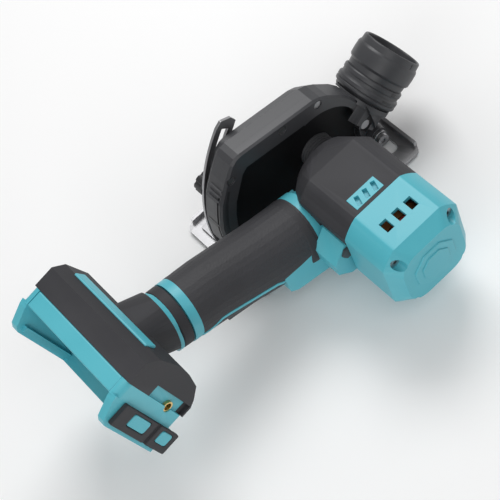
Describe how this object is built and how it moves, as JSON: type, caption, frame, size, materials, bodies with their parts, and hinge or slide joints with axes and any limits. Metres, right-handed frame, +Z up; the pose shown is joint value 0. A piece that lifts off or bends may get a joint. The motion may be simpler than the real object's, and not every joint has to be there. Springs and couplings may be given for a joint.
{
  "type": "cordless mini trim saw",
  "caption": "Cordless mini trim saw with barrel handle, slide-on battery foot, side motor drum, dark blade case, dust port and hinged steel base",
  "frame": {"origin": "underside of the base plate, in the middle plane of the blade, straight below the spindle axis", "axes": "+X is the cutting direction, +Y is to the left of the blade, +Z is up from the work"},
  "size_m": [0.2489, 0.1395, 0.1033],
  "materials": {
    "teal_plastic": "fine-textured moulded nylon",
    "dark_rubber": "soft grip overmould",
    "dark_plastic": "moulded glass-filled nylon",
    "black_plastic": "smooth",
    "steel": "zinc plated sheet and screws",
    "dark_steel": "oiled",
    "blade_steel": "ground",
    "gear_case": "dark painted die casting",
    "brass": "turned",
    "copper": "enamelled wire",
    "board_green": "solder mask",
    "red_plastic": "moulded"
  },
  "bodies": {
    "saw": {"housing_right": "teal_plastic", "housing_left": "teal_plastic", "housing_screws": "steel", "motor_cap": "teal_plastic", "cap_screws": "steel", "head_overmould": "dark_rubber", "louvre_insert": "teal_plastic", "grip_overmould": "dark_rubber", "foot_overmould": "dark_rubber", "side_bumpers": "dark_rubber", "clip_nuts": "brass", "terminal_block": "black_plastic", "terminals": "brass", "controller_board": "board_green", "switch_module": "black_plastic", "trigger_pin": "steel", "trigger_spring": "steel", "lock_spring": "steel", "power_leads": "red_plastic", "stator": "dark_steel", "windings": "copper", "motor_bearings": "steel", "gear_case": "gear_case", "gear_case_screws": "steel", "spindle_bearings": "steel", "case_right": "dark_plastic", "case_left": "dark_plastic", "case_screws": "steel", "dust_elbow": "dark_plastic", "dust_collar": "dark_plastic", "port_screw": "steel", "pivot_screws": "steel", "clamp_stud": "steel"},
    "base": {"base_plate": "steel", "pivot_bracket": "steel", "depth_quadrant": "steel", "quadrant_rivets": "steel"},
    "arbor": {"drive_gear": "steel", "spindle": "steel", "inner_flange": "dark_steel", "outer_flange": "dark_steel", "saw_blade": "blade_steel", "blade_bolt": "dark_steel"},
    "armature": {"rotor": "dark_steel", "pinion_shaft": "steel", "cooling_fan": "red_plastic"},
    "trigger_lever": {"trigger": "dark_plastic"},
    "lock_key": {"lock_button": "dark_plastic"},
    "port_swivel": {"dust_outlet": "dark_plastic"},
    "clamp_lever": {"depth_knob": "black_plastic"}
  },
  "joints": [
    {"name": "base_depth", "type": "hinge", "parent": "saw", "child": "base", "pos_m": [0.0325, -0.003, 0.01], "axis": [0, 1, 0], "range_deg": [-14, 4]},
    {"name": "spindle_spin", "type": "hinge", "parent": "saw", "child": "arbor", "pos_m": [0, -0.02, 0.031], "axis": [0, 1, 0], "continuous": true},
    {"name": "rotor_spin", "type": "hinge", "parent": "saw", "child": "armature", "pos_m": [-0.0092, -0.07, 0.04266], "axis": [0, 1, 0], "continuous": true},
    {"name": "trigger_pull", "type": "hinge", "parent": "saw", "child": "trigger_lever", "pos_m": [-0.092, -0.04, 0.0435], "axis": [0, 1, 0], "range_deg": [-3, 0], "stiffness_Nm_per_rad": 0.05, "deforming": ["trigger_spring"]},
    {"name": "lock_push", "type": "slide", "parent": "saw", "child": "lock_key", "axis": [0, 1, 0], "range_m": [0, 0.002], "stiffness_N_per_m": 200, "deforming": ["lock_spring"]},
    {"name": "port_turn", "type": "hinge", "parent": "saw", "child": "port_swivel", "pos_m": [0.04559, -0.003, 0.03463], "axis": [0.8829, 0, 0.4695], "range_deg": [-180, 180]},
    {"name": "depth_clamp", "type": "hinge", "parent": "saw", "child": "clamp_lever", "pos_m": [-0.05466, 0.011, 0.04521], "axis": [0, 1, 0], "range_deg": [-90, 0]}
  ],
  "couplings": [
    {"joint": "rotor_spin", "follows": "spindle_spin", "ratio": -2.6667}
  ]
}
